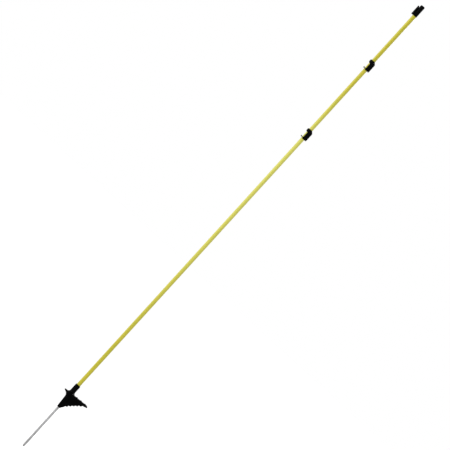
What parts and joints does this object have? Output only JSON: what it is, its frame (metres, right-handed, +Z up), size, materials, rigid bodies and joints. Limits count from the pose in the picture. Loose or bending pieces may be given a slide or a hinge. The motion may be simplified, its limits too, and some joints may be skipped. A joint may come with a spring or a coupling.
{
  "type": "fence post",
  "caption": "Round fibreglass electric fence post with a steel ground spike, a moulded step-in foot with a ribbed tread, sliding wire clips and a head cap with a wire slot.",
  "frame": {"origin": "on the rod's axis where the spike leaves the underside of the foot, at ground level in use", "axes": "+Z up the rod, +X towards the long side of the tread, Y across it along the fence line"},
  "size_m": [0.0792, 0.032, 1.6],
  "materials": {
    "yellow_fibreglass": "satin, fine lengthwise fibres",
    "spike_steel": "drawn bar, turned point",
    "black_moulding": "satin moulded plastic"
  },
  "bodies": {
    "post": {"fibreglass_rod": "yellow_fibreglass", "ground_spike": "spike_steel", "step_in_foot": "black_moulding", "head_cap": "black_moulding"},
    "lower_clip": {"lower_wire_clip": "black_moulding"},
    "upper_clip": {"upper_wire_clip": "black_moulding"}
  },
  "joints": [
    {"name": "lower_clip_slide", "type": "slide", "parent": "post", "child": "lower_clip", "axis": [0, 0, 1], "range_m": [-0.88, 0.1]},
    {"name": "upper_clip_slide", "type": "slide", "parent": "post", "child": "upper_clip", "axis": [0, 0, 1], "range_m": [-0.1, 0.155]}
  ]
}
